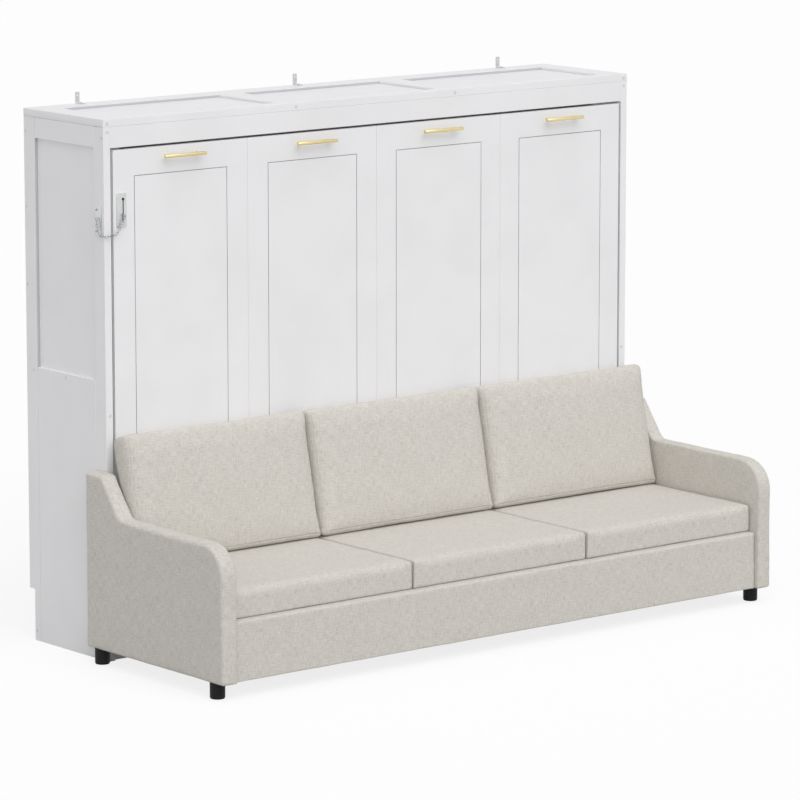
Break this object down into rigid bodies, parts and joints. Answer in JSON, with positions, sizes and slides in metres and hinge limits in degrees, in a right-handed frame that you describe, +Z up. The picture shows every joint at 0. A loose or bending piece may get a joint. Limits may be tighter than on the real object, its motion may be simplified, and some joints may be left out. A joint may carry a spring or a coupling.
{
  "type": "wall bed with sofa",
  "caption": "White cabinet whose panelled front folds down sideways as a slatted bed, with a beige fabric sofa that stands against it between high-backed arms",
  "frame": {"origin": "On the floor, under the middle of the whole object at rest", "axes": "+X along the cabinet to the right as seen from the sofa, +Y from the sofa to the wall, +Z up"},
  "size_m": [2.3368, 1.133, 1.7973],
  "materials": {
    "white_board": "Board with a smooth, low-sheen white foil",
    "pale_gold": "Satin pale gold metal",
    "zinc_steel": "Galvanised sheet",
    "chrome": "Bright plated",
    "black_enamel": "Black enamel",
    "black_plastic": "Black, slightly satin",
    "beige_weave": "Beige linen-look weave over foam",
    "pale_wood": "Bare laminated softwood",
    "dark_steel": "Plain steel bar and plate"
  },
  "bodies": {
    "cabinet": {"side_front_stile_left": "white_board", "side_front_stile_right": "white_board", "side_back_stile_left": "white_board", "side_back_stile_right": "white_board", "side_panel_left": "white_board", "side_panel_right": "white_board", "top_front_rail": "white_board", "top_back_rail": "white_board", "top_end_rail_left": "white_board", "top_end_rail_right": "white_board", "top_cross_rail_left": "white_board", "top_cross_rail_right": "white_board", "top_panel": "white_board", "header_rail": "white_board", "plinth_rail": "white_board", "back_rail": "white_board", "wall_bracket_left": "zinc_steel", "wall_bracket_middle": "zinc_steel", "wall_bracket_right": "zinc_steel", "hinge_plate_left": "dark_steel", "hinge_plate_right": "dark_steel", "chain_anchor": "zinc_steel"},
    "bed": {"door_panel_1": "white_board", "door_panel_2": "white_board", "door_panel_3": "white_board", "door_panel_4": "white_board", "door_handle_1": "pale_gold", "door_handle_2": "pale_gold", "door_handle_3": "pale_gold", "door_handle_4": "pale_gold", "bed_end_rail_left": "white_board", "bed_end_rail_right": "white_board", "bed_head_rail": "white_board", "bed_foot_rail": "white_board", "slat_deck": "pale_wood", "pivot_plate_left": "dark_steel", "pivot_plate_right": "dark_steel", "chain_slide_plate": "zinc_steel"},
    "support_leg_left": {"support_leg_left": "dark_steel"},
    "support_leg_right": {"support_leg_right": "dark_steel"},
    "strut_cylinder_left": {"strut_cylinder_left": "black_enamel"},
    "strut_rod_left": {"strut_rod_left": "chrome"},
    "strut_cylinder_right": {"strut_cylinder_right": "black_enamel"},
    "strut_rod_right": {"strut_rod_right": "chrome"},
    "safety_chain": {"safety_chain": "chrome"},
    "sofa": {"sofa_arm_left": "beige_weave", "sofa_arm_right": "beige_weave", "base_front_rail": "beige_weave", "seat_deck": "white_board", "seat_bearers": "white_board", "sofa_leg_front_left": "black_plastic", "sofa_leg_front_right": "black_plastic", "sofa_leg_back_left": "black_plastic", "sofa_leg_back_right": "black_plastic", "seat_cushion_1": "beige_weave", "seat_cushion_2": "beige_weave", "seat_cushion_3": "beige_weave"},
    "back_cushion_1": {"back_cushion_1": "beige_weave"},
    "back_cushion_2": {"back_cushion_2": "beige_weave"},
    "back_cushion_3": {"back_cushion_3": "beige_weave"}
  },
  "joints": [
    {"name": "bed_fold", "type": "hinge", "parent": "cabinet", "child": "bed", "pos_m": [0, 0.1735, 0.4203], "axis": [1, 0, 0], "range_deg": [0, 90], "stiffness_Nm_per_rad": 60, "springref_deg": -28.65},
    {"name": "leg_swing_left", "type": "hinge", "parent": "bed", "child": "support_leg_left", "pos_m": [-1.0805, 0.1635, 1.36], "axis": [1, 0, 0], "range_deg": [-90, 0]},
    {"name": "leg_swing_right", "type": "hinge", "parent": "bed", "child": "support_leg_right", "pos_m": [1.0805, 0.1635, 1.36], "axis": [1, 0, 0], "range_deg": [-90, 0]},
    {"name": "strut_swing_left", "type": "hinge", "parent": "cabinet", "child": "strut_cylinder_left", "pos_m": [-1.06, 0.1935, 0.8003], "axis": [1, 0, 0], "range_deg": [0, 1.67]},
    {"name": "strut_slide_left", "type": "slide", "parent": "strut_cylinder_left", "child": "strut_rod_left", "axis": [0, -0.0835, 0.9965], "range_m": [0, 0.11266]},
    {"name": "strut_swing_right", "type": "hinge", "parent": "cabinet", "child": "strut_cylinder_right", "pos_m": [1.06, 0.1935, 0.8003], "axis": [1, 0, 0], "range_deg": [0, 1.67]},
    {"name": "strut_slide_right", "type": "slide", "parent": "strut_cylinder_right", "child": "strut_rod_right", "axis": [0, -0.0835, 0.9965], "range_m": [0, 0.11266]},
    {"name": "chain_slide", "type": "slide", "parent": "bed", "child": "safety_chain", "axis": [0, 0, 1], "range_m": [0, 0.05]},
    {"name": "sofa_pull_out", "type": "slide", "parent": "cabinet", "child": "sofa", "axis": [0, -1, 0], "range_m": [0, 0.15]},
    {"name": "back_cushion_swing_1", "type": "hinge", "parent": "sofa", "child": "back_cushion_1", "pos_m": [0, -0.52975, -0.30594], "axis": [1, 0, 0], "range_deg": [0, 102]},
    {"name": "back_cushion_swing_2", "type": "hinge", "parent": "sofa", "child": "back_cushion_2", "pos_m": [0, -0.52975, -0.30594], "axis": [1, 0, 0], "range_deg": [0, 102]},
    {"name": "back_cushion_swing_3", "type": "hinge", "parent": "sofa", "child": "back_cushion_3", "pos_m": [0, -0.52975, -0.30594], "axis": [1, 0, 0], "range_deg": [0, 102]}
  ],
  "couplings": [
    {"joint": "leg_swing_left", "follows": "bed_fold", "ratio": -1},
    {"joint": "leg_swing_right", "follows": "bed_fold", "ratio": -1},
    {"joint": "strut_swing_left", "follows": "bed_fold", "ratio": 0.018473},
    {"joint": "strut_slide_left", "follows": "bed_fold", "m_per_rad": 0.071687},
    {"joint": "strut_swing_right", "follows": "bed_fold", "ratio": 0.018473},
    {"joint": "strut_slide_right", "follows": "bed_fold", "m_per_rad": 0.071687},
    {"joint": "back_cushion_swing_1", "follows": "bed_fold", "ratio": 1.1333},
    {"joint": "back_cushion_swing_2", "follows": "bed_fold", "ratio": 1.1333},
    {"joint": "back_cushion_swing_3", "follows": "bed_fold", "ratio": 1.1333}
  ]
}
